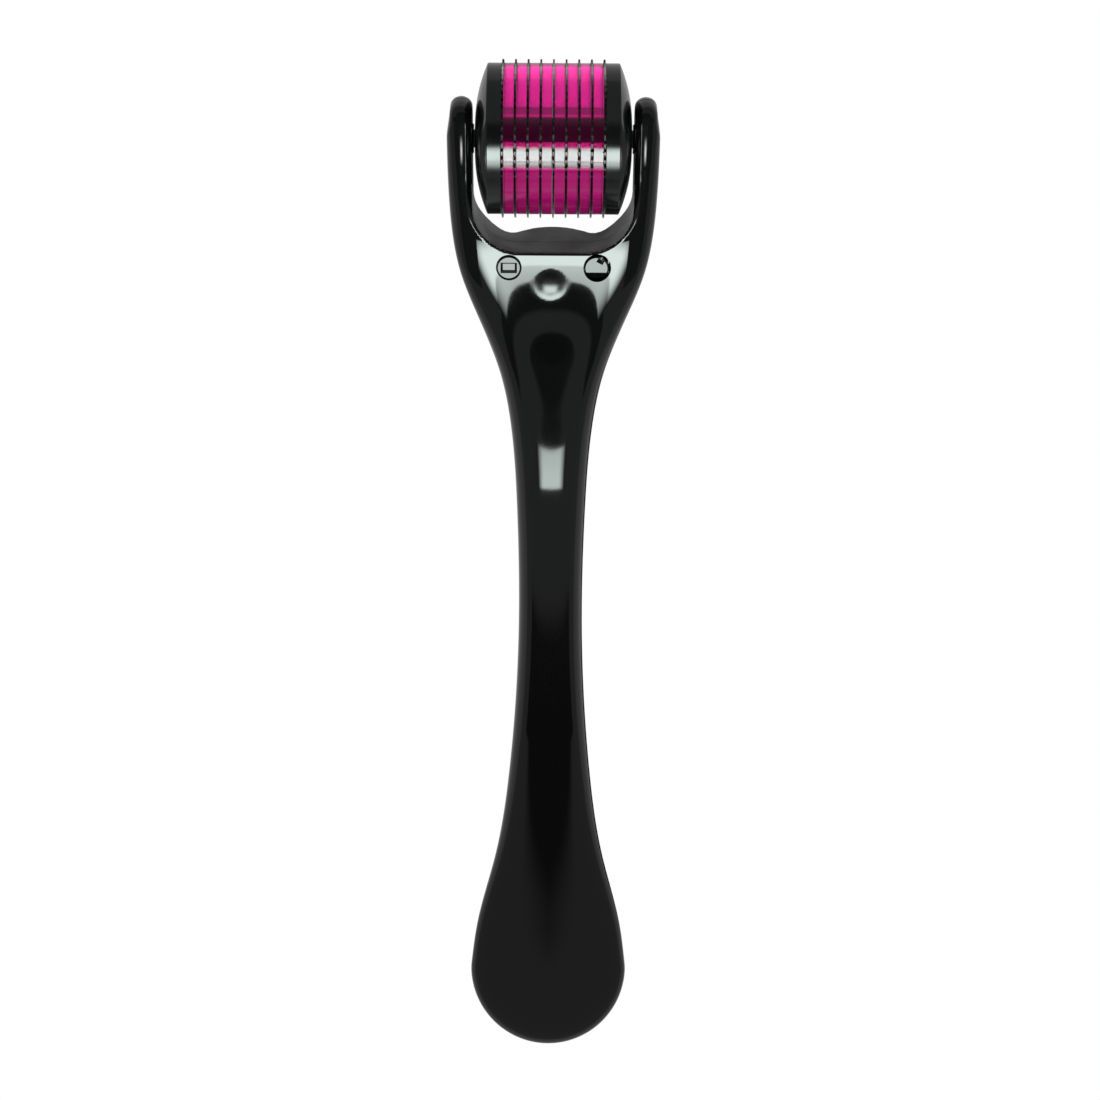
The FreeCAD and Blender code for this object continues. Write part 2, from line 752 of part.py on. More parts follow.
def make_shells(document):
    """The front and back shells, split along the middle surface."""
    sheet = document.Sizes
    fork = fork_placement(sheet)
    sections, spine = read_sections(sheet, fork)
    handle = make_handle(sheet, sections, fork)
    upper_space = make_upper_space(sheet, sections, spine)
    holes = make_pin_holes(sheet, fork)
    sites = peg_sites(sections)
    pegs = [make_peg(sheet, site, sheet.peg_radius, sheet.peg_length) for site in sites]
    posts = [make_peg_post(sheet, site) for site in sites]
    clearance = sheet.peg_clearance
    sockets = [
        make_peg(sheet, site, sheet.peg_radius + clearance, sheet.peg_length + clearance)
        for site in sites
    ]
    bump = make_bump(sheet, sections, handle)
    front = handle.common(upper_space).fuse(pegs + [bump]).cut(holes)
    back = handle.cut(upper_space).fuse(posts).cut(sockets + holes)
    return [add_shell(document, "front_shell", front), add_shell(document, "back_shell", back)]


def main():
    document = FreeCAD.newDocument("derma_roller")
    sheet = build_sheet(document)
    pieces = make_shells(document)
    pieces.append(make_lock_pin(document, "lock_pin_left", -1))
    pieces.append(make_lock_pin(document, "lock_pin_right", 1))
    pieces.append(make_axle_pin(document))
    pieces.append(make_core_tube(document))
    disc_count = int(sheet.disc_count)
    for number in range(1, disc_count + 1):
        pieces.append(make_needle_disc(document, number))
    for number in range(1, disc_count):
        pieces.append(make_spacer_ring(document, number))
    pieces.append(make_end_cap(document, "end_cap_left", -1))
    pieces.append(make_end_cap(document, "end_cap_right", 1))
    document.recompute()
    check_document(document, pieces)
    write_parts(pieces)


def check_document(document, pieces):
    for item in document.Objects:
        if "Invalid" in item.State or "Error" in item.State:
            raise RuntimeError(f"{item.Label} failed to compute: {item.State}")
    for piece in pieces:
        if piece.Shape.isNull() or not piece.Shape.isValid():
            raise RuntimeError(f"{piece.Label} has no valid shape")


def write_parts(pieces):
    os.makedirs("parts", exist_ok=True)
    for piece in pieces:
        piece.Shape.exportStep(f"parts/{piece.Label}.step")
        print(piece.Label, "volume", round(piece.Shape.Volume, 2))


main()
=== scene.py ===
import json
import math

import bmesh
import bpy
import numpy as np
from mathutils import Matrix, Vector, geometry


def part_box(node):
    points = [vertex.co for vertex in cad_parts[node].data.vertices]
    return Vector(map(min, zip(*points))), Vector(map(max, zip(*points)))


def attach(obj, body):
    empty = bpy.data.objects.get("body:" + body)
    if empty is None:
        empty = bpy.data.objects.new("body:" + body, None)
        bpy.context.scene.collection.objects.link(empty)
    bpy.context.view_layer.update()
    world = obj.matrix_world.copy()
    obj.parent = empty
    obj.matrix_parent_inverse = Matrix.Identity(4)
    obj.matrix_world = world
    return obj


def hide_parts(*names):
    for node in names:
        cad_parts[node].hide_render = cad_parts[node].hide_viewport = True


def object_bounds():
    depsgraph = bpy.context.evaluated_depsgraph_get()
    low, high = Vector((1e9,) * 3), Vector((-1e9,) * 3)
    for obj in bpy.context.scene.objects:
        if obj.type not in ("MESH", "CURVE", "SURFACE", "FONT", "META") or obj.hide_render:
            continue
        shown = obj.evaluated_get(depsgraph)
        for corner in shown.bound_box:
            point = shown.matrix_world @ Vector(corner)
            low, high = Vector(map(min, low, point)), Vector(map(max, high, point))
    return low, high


# A derma roller lying on its back: +Y runs from the handle's butt to the roller, +X along the
# roller's axle, +Z up. Shapes are worked out in millimetres and turned into metres at the end.

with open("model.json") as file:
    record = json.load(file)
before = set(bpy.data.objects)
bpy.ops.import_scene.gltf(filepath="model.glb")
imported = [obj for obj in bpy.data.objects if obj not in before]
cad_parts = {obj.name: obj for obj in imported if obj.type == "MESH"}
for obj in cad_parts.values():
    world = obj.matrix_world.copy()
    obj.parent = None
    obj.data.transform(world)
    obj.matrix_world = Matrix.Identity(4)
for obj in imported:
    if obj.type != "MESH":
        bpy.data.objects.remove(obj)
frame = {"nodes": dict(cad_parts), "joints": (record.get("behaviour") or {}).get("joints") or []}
CAD_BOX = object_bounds()

MM = 0.001
AXLE = np.array(frame["joints"][0]["pos_m"]) / MM
DISC_COUNT = sum(name.startswith("needle_disc") for name in frame["nodes"])


# ---- the handle's shape --------------------------------------------------------------------

# Cross-sections from the butt to the fork's tips: the middle surface's place, the half width,
# the heights in front of and behind the middle surface, the squareness (2 is an ellipse), and
# the ridge and valleys on the back. They repeat the CAD model's driving sizes.
SECTIONS = (
    (-58.3, 3.80, 11.00, 3.60, 4.05, 2.3, 0.0, 0.0),
    (-51.8, 3.85, 10.10, 3.65, 4.05, 2.3, 0.0, 0.0),
    (-42.8, 4.30, 7.75, 3.85, 4.15, 2.25, 0.0, 0.0),
    (-30.8, 5.25, 5.78, 4.15, 4.30, 2.2, 0.0, 0.0),
    (-8.8, 6.30, 4.48, 4.45, 4.45, 2.2, 0.0, 0.0),
    (7.2, 6.15, 4.83, 4.60, 4.60, 2.2, 0.0, 0.0),
    (19.2, 5.60, 5.82, 4.75, 4.80, 2.3, 0.0, 0.0),
    (27.2, 5.25, 7.60, 4.85, 4.90, 2.5, 0.0, 0.3),
    (34.2, 5.15, 10.45, 4.85, 5.05, 3.0, 0.3, 1.1),
    (40.2, 6.15, 12.85, 4.75, 5.40, 3.8, 0.8, 1.8),
)
# The fork's sections lie on a straight line through the axle, this far from it.
FORK_SECTIONS = (
    (-13.5, 14.15, 4.60, 5.55, 4.6, 1.2, 1.9),
    (-7.0, 14.62, 5.00, 4.75, 5.0, 1.2, 1.9),
    (0.0, 14.80, 4.50, 4.10, 5.0, 0.0, 0.0),
    (9.0, 14.80, 4.10, 4.10, 5.0, 0.0, 0.0),
)
FORK_TILT = math.radians(26.5)
FORK_UP = np.array((0, math.cos(FORK_TILT), math.sin(FORK_TILT)))
FORK_OUT = np.array((0, -math.sin(FORK_TILT), math.cos(FORK_TILT)))
RIDGE_HALF_WIDTH = 3.6
VALLEY_OFFSET = 6.4
VALLEY_HALF_WIDTH = 2.4

GAP_HALF_WIDTH = 11.25
GAP_CORNER = 6.4
GAP_DEPTH = 15.1
GAP_FILLET = 0.35
ARM_FILLET = 1.75
ARM_HALF_WIDTH = 14.8
ARM_CORNER = 2.4
ARM_END_RADIUS = 4.35
ARM_END_OFFSET = 1.9
ARM_END_FLARE = 0.2
ARM_END_FILLET = 1.5
BUMP_CENTRE_Y = 38.5
BUMP_CENTRE_X = -0.3
BUMP_RADIUS = 5.0
BUMP_HEIGHT = 0.4
BUMP_FOOT = 2.0
BUMP_FILLET = 0.2
LAND_FILLET = 0.3

PARTING_GAP = 0.02
PARTING_CHAMFER = 0.1
# How deep inside the handle the points that carry a shell's flat inner face lie.
INNER_MARGIN = 0.7
PIN_OFFSET = 6.15
PIN_SETBACK = 17.2
PIN_HOLE_RADIUS = 1.8
RIGHT_HOLE_RADIUS = 1.95
RIGHT_HOLE_SHIFT = 0.12


def smooth_curve(knots, values, start_slope=None, end_slope=None):
    """A cubic with continuous curvature through the values, as a function of place."""
    knots = np.asarray(knots, float)
    values = np.asarray(values, float)
    gaps = np.diff(knots)
    chords = np.diff(values) / gaps
    count = len(knots)
    matrix = np.zeros((count, count))
    wanted = np.zeros(count)
    for i in range(1, count - 1):
        matrix[i, i - 1 : i + 2] = 1 / gaps[i - 1], 2 / gaps[i - 1] + 2 / gaps[i], 1 / gaps[i]
        wanted[i] = 3 * (chords[i - 1] / gaps[i - 1] + chords[i] / gaps[i])
    for row, neighbour, chord, slope in (
        (0, 1, chords[0], start_slope),
        (count - 1, count - 2, chords[-1], end_slope),
    ):
        matrix[row, row] = 1
        if slope is None:
            matrix[row, neighbour] = 0.5
            wanted[row] = 1.5 * chord
        else:
            wanted[row] = slope
    slopes = np.linalg.solve(matrix, wanted)

    def evaluate(place):
        i = np.clip(np.searchsorted(knots, place) - 1, 0, count - 2)
        t = (place - knots[i]) / gaps[i]
        rise = values[i] * (1 - t) ** 2 * (1 + 2 * t) + values[i + 1] * t**2 * (3 - 2 * t)
        return rise + gaps[i] * t * (1 - t) * (slopes[i] * (1 - t) - slopes[i + 1] * t)

    return evaluate


def fork_point(reach):
    return AXLE + FORK_UP * reach


MIDDLES = [np.array((0, y, z)) for y, z, *_ in SECTIONS]
MIDDLES += [fork_point(reach) for reach, *_ in FORK_SECTIONS]
SHAPES = [values[2:] for values in SECTIONS] + [values[1:] for values in FORK_SECTIONS]
STEPS = [np.linalg.norm(after - before) for before, after in zip(MIDDLES, MIDDLES[1:])]
PLACES = np.concatenate([[0.0], np.cumsum(STEPS)])
LENGTH = PLACES[-1]
AXLE_PLACE = LENGTH - FORK_SECTIONS[-1][0]
SPINE_Y = smooth_curve(PLACES, [middle[1] for middle in MIDDLES], 1.0, FORK_UP[1])
SPINE_Z = smooth_curve(PLACES, [middle[2] for middle in MIDDLES], 0.0, FORK_UP[2])
SHAPE_CURVES = [smooth_curve(PLACES, column) for column in zip(*SHAPES)]
SLOPE_STEP = 0.01


def spine_frame(place):
    """The spine's point and direction, in the YZ plane, at a distance along it."""
    inside = np.clip(place, SLOPE_STEP, LENGTH - SLOPE_STEP)
    rise_y = SPINE_Y(inside + SLOPE_STEP) - SPINE_Y(inside - SLOPE_STEP)
    rise_z = SPINE_Z(inside + SLOPE_STEP) - SPINE_Z(inside - SLOPE_STEP)
    length = np.hypot(rise_y, rise_z)
    along_y = rise_y / length
    along_z = rise_z / length
    clipped = np.clip(place, 0, LENGTH)
    beyond = place - clipped
    y = SPINE_Y(clipped) + beyond * along_y
    z = SPINE_Z(clipped) + beyond * along_z
    return y, z, along_y, along_z


def to_space(points):
    """Real points from (across, along the spine, above the middle surface)."""
    y, z, along_y, along_z = spine_frame(points[:, 1])
    above = points[:, 2]
    return np.stack([points[:, 0], y - above * along_z, z + above * along_y], axis=1)


def to_spine(points):
    """The inverse of to_space, by a few steps along the spine."""
    place = np.clip(points[:, 1] - MIDDLES[0][1], -np.inf, LENGTH)
    for _ in range(8):
        y, z, along_y, along_z = spine_frame(place)
        place = place + (points[:, 1] - y) * along_y + (points[:, 2] - z) * along_z
    y, z, along_y, along_z = spine_frame(place)
    above = (points[:, 2] - z) * along_y - (points[:, 1] - y) * along_z
    return np.stack([points[:, 0], place, above], axis=1)


def both(first, second, fillet):
    """Inside both shapes, with a round edge where they meet. Negative is inside."""
    corner = np.hypot(np.maximum(first + fillet, 0), np.maximum(second + fillet, 0))
    return np.minimum(-fillet, np.maximum(first, second)) + corner


def either(first, second, fillet):
    """Inside either shape, with a hollow fillet where they meet."""
    return -both(-first, -second, fillet)


def round_box(x, y, half_x, half_y, corner):
    """Distance to a rectangle with round corners round the origin."""
    out_x = np.abs(x) - (half_x - corner)
    out_y = np.abs(y) - (half_y - corner)
    outside = np.hypot(np.maximum(out_x, 0), np.maximum(out_y, 0))
    return outside + np.minimum(np.maximum(out_x, out_y), 0) - corner


def bar_field(across, along, above):
    """The handle without its gap: a superellipse whose sizes change along the spine."""
    place = np.clip(along, 0, LENGTH)
    across = np.hypot(across, np.minimum(along, 0))
    half_width, front, back, power, ridge, valley = [curve(place) for curve in SHAPE_CURVES]
    height = np.where(above >= 0, front, back)
    fullness = np.maximum(1e-9, 1 - (across / half_width) ** power)
    plain = height * fullness ** (1 / power)
    relief = np.maximum(ridge, 0) * np.exp(-((across / RIDGE_HALF_WIDTH) ** 2))
    from_valley = (across - VALLEY_OFFSET) / VALLEY_HALF_WIDTH
    relief -= np.maximum(valley, 0) * np.exp(-(from_valley**2))
    relief = np.where(above < 0, relief * fullness, 0)
    level = np.abs(above) * plain / (plain + relief)
    size = (across / half_width) ** power + (level / height) ** power
    size = np.maximum(size, 1e-6) ** (1 / power)
    steep = power - 1
    slope_x = (across / half_width / size) ** steep / half_width
    slope_y = (level / height / size) ** steep / height
    return (size - 1) / np.hypot(slope_x, slope_y)


def eased(value, low, high):
    """0 up to low, 1 from high on, and a smooth step between them."""
    share = np.clip((value - low) / (high - low), 0, 1)
    return share**2 * (3 - 2 * share)


def handle_field(points):
    """Roughly the distance to the handle's surface, in millimetres; negative is inside."""
    across, along, above = points.T
    real = to_space(points)
    reach = (real - AXLE) @ FORK_UP
    field = bar_field(across, along, above)
    past_end = along - AXLE_PLACE - ARM_END_OFFSET
    flare = ARM_END_FLARE * np.maximum(-past_end, 0)
    arm_end = np.hypot(np.maximum(past_end, 0), above) - ARM_END_RADIUS - flare
    field = both(field, arm_end, ARM_END_FILLET)
    end = ARM_END_OFFSET + ARM_END_RADIUS
    plan = round_box(across, reach + LENGTH, ARM_HALF_WIDTH, end + LENGTH, ARM_CORNER)
    field = both(field, plan, ARM_END_FILLET * eased(past_end, -1.5, 2.5))
    gap = round_box(across, reach - LENGTH + GAP_DEPTH, GAP_HALF_WIDTH, LENGTH, GAP_CORNER)
    fillet = GAP_FILLET + (ARM_FILLET - GAP_FILLET) * eased(reach, -14, -6)
    field = both(field, -gap, fillet)
    ball = np.linalg.norm(real - BUMP_CENTRE, axis=1) - BUMP_RADIUS
    field = either(field, np.maximum(ball, BUMP_FOOT - above), BUMP_FILLET)
    return both(field, -real[:, 2], LAND_FILLET)


def bump_centre():
    """The centre of the sphere whose top stands just proud of the yoke's front."""
    foot = to_spine(np.array([[BUMP_CENTRE_X, BUMP_CENTRE_Y, MIDDLES[9][2] + 4]]))[0]
    front = SHAPE_CURVES[1](foot[1])
    depth = BUMP_RADIUS - BUMP_HEIGHT
    return to_space(np.array([[BUMP_CENTRE_X, foot[1], front - depth]]))[0]


BUMP_CENTRE = bump_centre()


def slope_of(field, points, step=0.02):
    """The field's gradient by central differences."""
    result = np.empty_like(points)
    for axis in range(3):
        shift = np.zeros(3)
        shift[axis] = step
        result[:, axis] = (field(points + shift) - field(points - shift)) / (2 * step)
    return result


def surface_net(values):
    """Vertices, in grid steps, and quads of the surface where a sampled field changes sign."""
    inside = values < 0
    cells = tuple(size - 1 for size in values.shape)
    total = np.zeros(cells + (3,))
    count = np.zeros(cells, int)
    crossings = []
    for axis in range(3):
        here = [slice(None)] * 3
        there = [slice(None)] * 3
        here[axis] = slice(None, -1)
        there[axis] = slice(1, None)
        first, second = values[tuple(here)], values[tuple(there)]
        crossed = inside[tuple(here)] != inside[tuple(there)]
        place = np.stack(np.meshgrid(*map(np.arange, first.shape), indexing="ij"), -1).astype(float)
        gap = np.where(crossed, first - second, 1)
        place[..., axis] += first / gap
        place *= crossed[..., None]
        side, other = [a for a in range(3) if a != axis]
        for i in (0, 1):
            for j in (0, 1):
                window = [slice(None)] * 3
                window[side] = slice(i, i + cells[side])
                window[other] = slice(j, j + cells[other])
                total += place[tuple(window)]
                count += crossed[tuple(window)]
        crossings.append((crossed, inside[tuple(here)]))
    used = count > 0
    number = np.full(cells, -1)
    number[used] = np.arange(used.sum())
    quads = []
    for axis, (crossed, leaving) in enumerate(crossings):
        side, other = (axis + 1) % 3, (axis + 2) % 3
        edges = np.argwhere(crossed)
        outward = leaving[crossed]
        corners = []
        for i, j in ((-1, -1), (0, -1), (0, 0), (-1, 0)):
            cell = edges.copy()
            cell[:, side] += i
            cell[:, other] += j
            corners.append(number[tuple(cell.T)])
        quad = np.stack(corners, 1)
        quad[~outward] = quad[~outward][:, ::-1]
        quads.append(quad)
    return total[used] / count[used][:, None], np.concatenate(quads)


def handle_skin():
    """The whole handle's surface in straightened coordinates, as points and quads.

    The sampling grid is coarse along the plain grip and fine along the head.
    """
    head_start = PLACES[7]
    coarse = np.arange(-12.0, head_start, 0.7)
    fine = np.arange(coarse[-1] + 0.3, LENGTH + 0.4, 0.3)
    along = np.concatenate([coarse, fine])
    across = np.arange(-15.4, 15.5, 0.35)
    above = np.arange(-7.68, 6.5, 0.32)
    grid = np.stack(np.meshgrid(across, along, above, indexing="ij"), -1).reshape(-1, 3)
    values = handle_field(grid).reshape(len(across), len(along), len(above))
    steps, quads = surface_net(values)
    columns = []
    for axis, ticks in enumerate((across, along, above)):
        columns.append(np.interp(steps[:, axis], np.arange(len(ticks)), ticks))
    points = np.stack(columns, 1)
    for _ in range(4):
        slope = slope_of(handle_field, points)
        points -= slope * (handle_field(points) / (slope**2).sum(1))[:, None]
    return points, quads


def ordered_loop(edges):
    """The vertices of one closed chain of edges, in order."""
    edges = set(edges)
    edge = min(edges, key=lambda e: e.index)
    loop = [edge.verts[0], edge.verts[1]]
    while edges:
        edges.discard(edge)
        edge = next((e for e in loop[-1].link_edges if e in edges), None)
        if edge is None:
            break
        loop.append(edge.other_vert(loop[-1]))
    return loop[:-1]


def close_along_parting(mesh, side):
    """Give a cut shell its chamfered rim and its flat inner face."""
    rim = [edge for edge in mesh.edges if edge.is_boundary]
    lip = bmesh.ops.extrude_edge_only(mesh, edges=rim)["geom"]
    verts = [item for item in lip if isinstance(item, bmesh.types.BMVert)]
    places = np.array([vert.co for vert in verts])
    inward = slope_of(handle_field, places)
    inward[:, 2] = 0
    inward /= np.linalg.norm(inward, axis=1)[:, None]
    between_arms = np.abs(places[:, 0]) < GAP_HALF_WIDTH + PARTING_CHAMFER
    past_yoke = places[:, 1] > AXLE_PLACE - GAP_DEPTH - PARTING_CHAMFER
    places -= inward * np.where(between_arms & past_yoke, 0, PARTING_CHAMFER)[:, None]
    places[:, 2] = side * PARTING_GAP
    for vert, place in zip(verts, places):
        vert.co = place
    mesh.edges.index_update()
    loop = ordered_loop(edge for edge in mesh.edges if edge.is_boundary)
    outline = [Vector(vert.co[:2]) for vert in loop]
    columns = np.meshgrid(np.arange(-14, 15, 1.5), np.arange(-10, LENGTH, 2.0))
    spread = np.stack(columns, -1).reshape(-1, 2)
    level = np.full((len(spread), 1), side * PARTING_GAP)
    deep = handle_field(np.concatenate([spread, level], 1)) < -INNER_MARGIN
    inner = [Vector(place) for place in spread[deep]]
    ring = list(range(len(outline)))
    flat = geometry.delaunay_2d_cdt(outline + inner, [], [ring], 1, 1e-7)
    places, _, faces, sources = flat[:4]
    made = []
    for place, source in zip(places, sources):
        if source and source[0] < len(outline):
            made.append(loop[source[0]])
        else:
            made.append(mesh.verts.new((place.x, place.y, side * PARTING_GAP)))
    for face in faces:
        corners = [made[i] for i in face]
        mesh.faces.new(corners[::-1] if side > 0 else corners)


def shell_mesh(name, points, quads, side):
    """One half of the handle, in real space and metres."""
    mesh = bmesh.new()
    verts = [mesh.verts.new(point) for point in points]
    for quad in quads:
        mesh.faces.new([verts[i] for i in quad])
    everything = mesh.verts[:] + mesh.edges[:] + mesh.faces[:]
    level = Vector((0, 0, side * (PARTING_GAP + PARTING_CHAMFER)))
    bmesh.ops.bisect_plane(
        mesh, geom=everything, dist=1e-5, plane_co=level, plane_no=(0, 0, side), clear_inner=True
    )
    close_along_parting(mesh, side)
    places = to_space(np.array([vert.co for vert in mesh.verts]))
    for vert, place in zip(mesh.verts, places * MM):
        vert.co = place
    data = bpy.data.meshes.new(name)
    mesh.to_mesh(data)
    mesh.free()
    return data


def new_object(name, data):
    made = bpy.data.objects.new(name, data)
    bpy.context.scene.collection.objects.link(made)
    return made


def cut_pin_holes(shell):
    """Cut the two round holes for the lock pins, square to the fork."""
    cutters = []
    for side in (-1, 1):
        data = bpy.data.meshes.new("pin_hole")
        mesh = bmesh.new()
        radius = (PIN_HOLE_RADIUS if side < 0 else RIGHT_HOLE_RADIUS) * MM
        bmesh.ops.create_cone(
            mesh, cap_ends=True, segments=96, radius1=radius, radius2=radius, depth=16 * MM
        )
        mesh.to_mesh(data)
        mesh.free()
        cutter = new_object("pin_hole", data)
        shift = 0 if side < 0 else RIGHT_HOLE_SHIFT
        centre = fork_point(-PIN_SETBACK) + np.array((side * PIN_OFFSET + shift, 0, 0))
        place = Matrix.Translation(Vector(centre * MM))
        cutter.matrix_world = place @ Matrix.Rotation(FORK_TILT, 4, "X")
        cutters.append(cutter)
        cut = shell.modifiers.new("pin_hole", "BOOLEAN")
        cut.operation = "DIFFERENCE"
        cut.solver = "EXACT"
        cut.object = cutter
    bpy.context.view_layer.update()
    evaluated = shell.evaluated_get(bpy.context.evaluated_depsgraph_get())
    data = bpy.data.meshes.new_from_object(evaluated)
    shell.modifiers.clear()
    shell.data = data
    for cutter in cutters:
        bpy.data.objects.remove(cutter)


def smooth_by_angle(data, degrees):
    data.shade_smooth()
    data.set_sharp_from_angle(angle=math.radians(degrees))


def give_true_normals(data):
    """Shade the skin by the field's own slope, so that reflections run smoothly."""
    smooth_by_angle(data, 25)
    count = len(data.vertices)
    flat = np.empty(count * 3)
    data.vertices.foreach_get("co", flat)
    places = to_spine(flat.reshape(-1, 3) / MM)
    on_skin = np.abs(handle_field(places)) < 0.02
    slope = slope_of(handle_field, places)
    _, _, along_y, along_z = spine_frame(places[:, 1])
    _, _, next_y, next_z = spine_frame(places[:, 1] + SLOPE_STEP)
    turn = (along_y * next_z - along_z * next_y) / SLOPE_STEP
    along = slope[:, 1] / (1 - turn * places[:, 2])
    normal = np.stack([
        slope[:, 0],
        along * along_y - slope[:, 2] * along_z,
        along * along_z + slope[:, 2] * along_y,
    ], axis=1)
    normal /= np.linalg.norm(normal, axis=1)[:, None]
    loops = len(data.loops)
    loop_vert = np.empty(loops, int)
    data.loops.foreach_get("vertex_index", loop_vert)
    face_normal = np.repeat(
        [face.normal for face in data.polygons], [face.loop_total for face in data.polygons], axis=0
    )
    wanted = normal[loop_vert]
    agrees = (wanted * face_normal).sum(1) > 0.8
    wanted[~(on_skin[loop_vert] & agrees)] = 0
    data.normals_split_custom_set(wanted)


def make_shells():
    points, quads = handle_skin()
    shells = []
    for name, side in (("front_shell_skin", 1), ("back_shell_skin", -1)):
        shell = new_object(name, shell_mesh(name, points, quads, side))
        if side > 0:
            cut_pin_holes(shell)
        give_true_normals(shell.data)
        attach(shell, "handle")
        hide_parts(name.removesuffix("_skin"))
        shells.append(shell)
    return shells


# ---- pieces turned round the axle ----------------------------------------------------------


def rounded(corners, radii, arc_steps=6, support=0.02):
    """A closed outline with its corners rounded, and a point just before and after each arc."""
    outline = []
    for i, (corner, radius) in enumerate(zip(corners, radii)):
        corner = np.array(corner)
        before = np.array(corners[i - 1]) - corner
        after = np.array(corners[(i + 1) % len(corners)]) - corner
        if radius == 0:
            outline.append(corner)
            continue
        before /= np.linalg.norm(before)
        after /= np.linalg.norm(after)
        half = math.acos(np.clip(before @ after, -1, 1)) / 2
        reach = radius / math.tan(half)
        middle = before + after
        centre = corner + middle / np.linalg.norm(middle) * radius / math.sin(half)
        start = corner + before * reach - centre
        end = corner + after * reach - centre
        angle = math.acos(np.clip(start @ end / radius**2, -1, 1))
        outline.append(corner + before * (reach + support))
        for step in range(arc_steps + 1):
            share = step / arc_steps
            mix = start * math.sin((1 - share) * angle) + end * math.sin(share * angle)
            outline.append(centre + mix / math.sin(angle))
        outline.append(corner + after * (reach + support))
    return outline


def turned(name, outline, segments=192):
    """A ring made by turning an outline of (place along X, radius) round the axle."""
    mesh = bmesh.new()
    rings = []
    for step in range(segments):
        angle = 2 * math.pi * step / segments
        y, z = math.cos(angle), math.sin(angle)
        rings.append([
            mesh.verts.new(Vector((x, AXLE[1] + r * y, AXLE[2] + r * z)) * MM) for x, r in outline
        ])
    for first, second in zip(rings, rings[1:] + rings[:1]):
        for i in range(len(outline)):
            j = (i + 1) % len(outline)
            mesh.faces.new((first[i], first[j], second[j], second[i]))
    bmesh.ops.recalc_face_normals(mesh, faces=mesh.faces[:])
    data = bpy.data.meshes.new(name)
    mesh.to_mesh(data)
    mesh.free()
    smooth_by_angle(data, 25)
    return new_object(name, data)


def span_of(node):
    """A turned CAD node's ends along X and its radius, in millimetres."""
    low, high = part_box(node)
    return low.x / MM, high.x / MM, (high.z - low.z) / 2 / MM


CORE_RADIUS = 2.9
AXLE_RADIUS = 1.25
CAP_RIM_WIDTH = 2.0
CAP_HUB_RADIUS = 2.6
CAP_DOME_RADIUS = 20.5
CAP_DOME_STEPS = 24
CAP_BORE = AXLE_RADIUS + 0.05
CAP_LIP = 1.2
RING_SIDE_GAP = 0.012
BOSS_FACE = 11.03
BOSS_ROOT = 11.6
BOSS_FACE_RADIUS = 1.95
BOSS_ROOT_RADIUS = 2.5


def dome(start, end, radius, steps):
    """Points on the arc from start to end that bulges away from the axle."""
    start, end = np.array(start), np.array(end)
    chord = end - start
    middle = (start + end) / 2
    outward = np.array((abs(chord[1]), abs(chord[0])))
    outward[0] *= np.sign(end[0] - start[0])
    outward /= np.linalg.norm(outward)
    depth = math.sqrt(radius**2 - (np.linalg.norm(chord) / 2) ** 2)
    centre = middle - outward * depth
    first = math.atan2(*(start - centre)[::-1])
    last = math.atan2(*(end - centre)[::-1])
    if abs(last - first) > math.pi:
        last += math.copysign(2 * math.pi, first - last)
    return [
        centre + radius * np.array((math.cos(a), math.sin(a)))
        for a in np.linspace(first, last, steps + 1)
    ]


def make_cap(node):
    """A domed end cap: flat rim, shallow dome and a small flat hub."""
    low, high, radius = span_of(node)
    inner, outer = (high, low) if low < 0 else (low, high)
    outward = 1 if outer > inner else -1
    rim_end = inner + outward * CAP_RIM_WIDTH
    arc = dome((rim_end, radius), (outer, CAP_HUB_RADIUS), CAP_DOME_RADIUS, CAP_DOME_STEPS)
    corners = [(inner, CORE_RADIUS), (inner, radius), *map(tuple, arc), (outer, CAP_BORE)]
    corners.append((outer - outward * CAP_LIP, CAP_BORE))
    corners.append((outer - outward * CAP_LIP, CORE_RADIUS))
    radii = [0.0, 0.12, 0.22] + [0.0] * (len(arc) - 2) + [0.15, 0.1, 0.0, 0.0]
    cap = turned(node + "_skin", rounded(corners, radii))
    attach(cap, "roller")
    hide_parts(node)
    return cap


def make_ring(node):
    """A clear spacer ring with softly broken edges."""
    low, high, radius = span_of(node)
    low += RING_SIDE_GAP
    high -= RING_SIDE_GAP
    bore = CORE_RADIUS + 0.02
    corners = [(low, bore), (low, radius), (high, radius), (high, bore)]
    ring = turned(node + "_skin", rounded(corners, [0.0, 0.1, 0.1, 0.0]))
    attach(ring, "roller")
    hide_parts(node)
    return ring


def make_boss(name, side):
    """The low round boss on an arm's inner face that meets the cap."""
    face = side * BOSS_FACE
    root = side * BOSS_ROOT
    corners = [(root, AXLE_RADIUS), (root, BOSS_ROOT_RADIUS)]
    corners += [(face, BOSS_FACE_RADIUS), (face, AXLE_RADIUS)]
    boss = turned(name, rounded(corners, [0.0, 0.0, 0.12, 0.0]), 96)
    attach(boss, "handle")
    return boss


# ---- materials -----------------------------------------------------------------------------

GAP_WALL_BAND = 0.06
BUMP_SATIN = 0.17
BUMP_SATIN_FADE = 0.5


